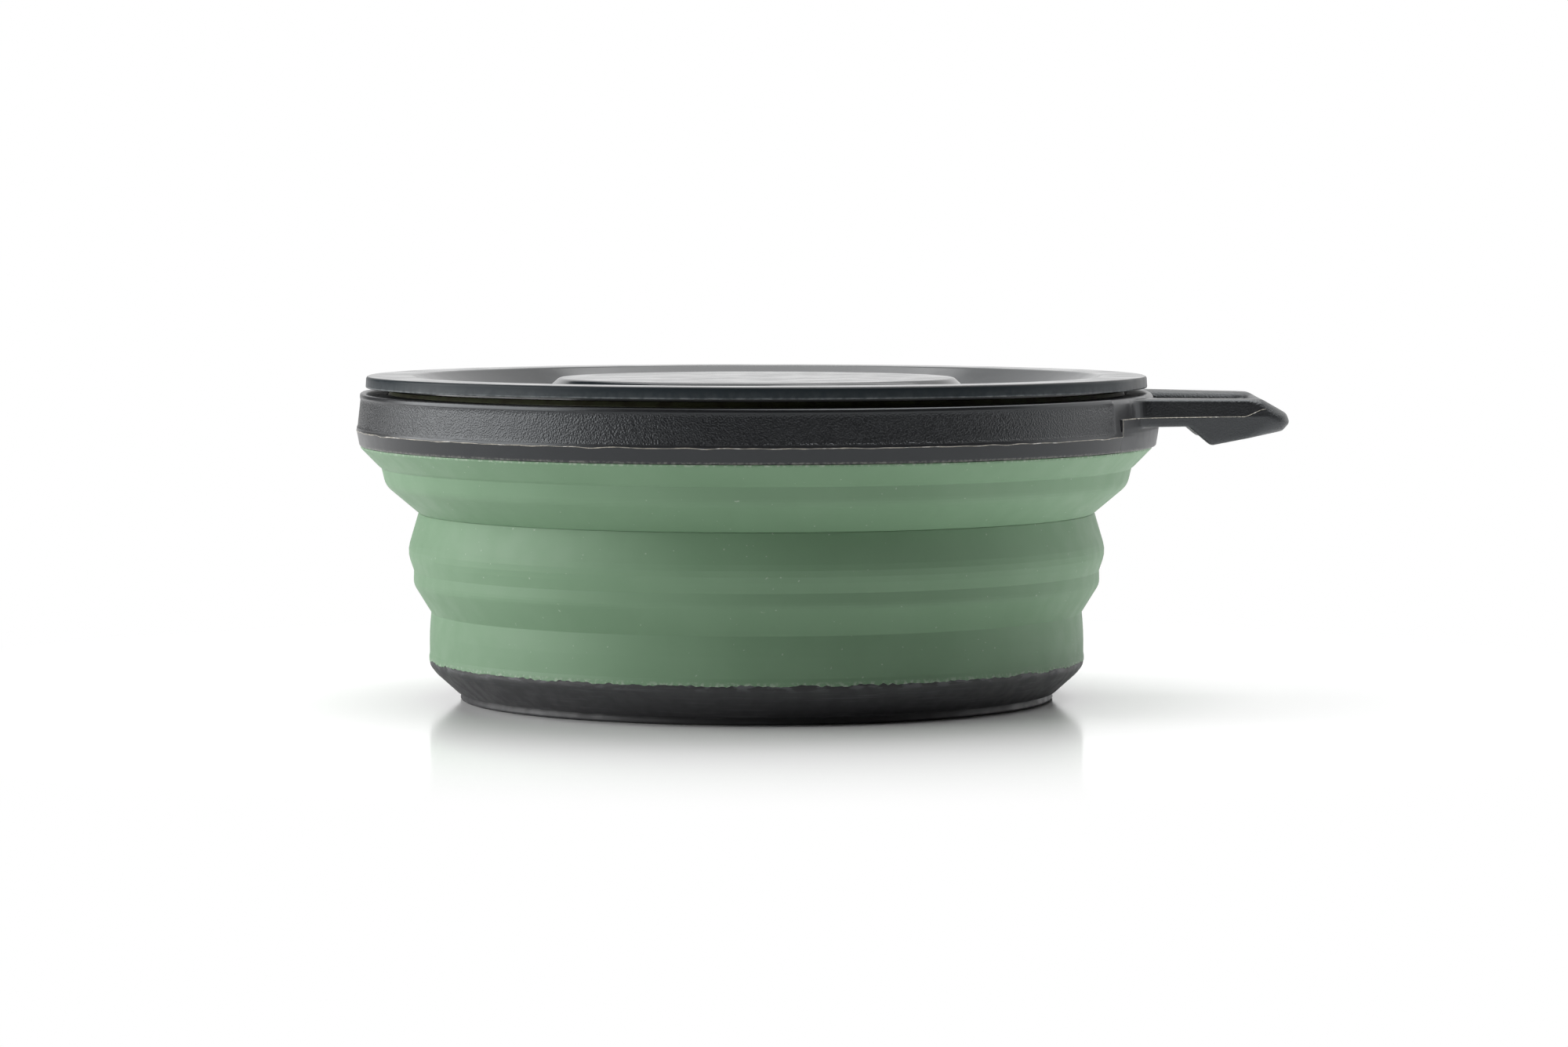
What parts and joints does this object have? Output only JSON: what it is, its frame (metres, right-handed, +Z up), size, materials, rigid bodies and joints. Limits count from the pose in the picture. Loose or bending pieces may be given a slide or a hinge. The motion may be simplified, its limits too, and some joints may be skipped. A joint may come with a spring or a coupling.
{
  "type": "collapsible bowl with lid",
  "caption": "Round collapsible camp bowl: silicone bellows wall between a rigid base and a rigid rim with a looped handle, closed by a press-in lid with a gasket.",
  "frame": {"origin": "centre of the base's underside, on the surface that the bowl stands on", "axes": "+Z up along the bowl's axis, +X along the handle"},
  "size_m": [0.1668, 0.144, 0.0587],
  "materials": {
    "base_plastic": "matt moulded nylon, lightly scuffed",
    "green_silicone": "satin sage green silicone",
    "rim_plastic": "fine-grained moulded nylon",
    "lid_plastic": "polished slate moulded plastic",
    "gasket_silicone": "olive silicone"
  },
  "bodies": {
    "base": {"base_tray": "base_plastic", "wall_lower_band": "green_silicone", "wall_lower_fold": "green_silicone"},
    "middle": {"wall_middle_band": "green_silicone", "wall_upper_fold": "green_silicone"},
    "rim": {"rim_frame": "rim_plastic", "wall_upper_band": "green_silicone"},
    "lid": {"lid": "lid_plastic", "lid_gasket": "gasket_silicone"}
  },
  "joints": [
    {"name": "lower_collapse", "type": "slide", "parent": "base", "child": "middle", "axis": [0, 0, -1], "range_m": [0, 0.0149], "deforming": ["wall_lower_fold"]},
    {"name": "upper_collapse", "type": "slide", "parent": "middle", "child": "rim", "axis": [0, 0, -1], "range_m": [0, 0.016], "deforming": ["wall_upper_fold"]},
    {"name": "lid_lift", "type": "slide", "parent": "rim", "child": "lid", "axis": [0, 0, 1], "range_m": [0, 0.06]}
  ]
}
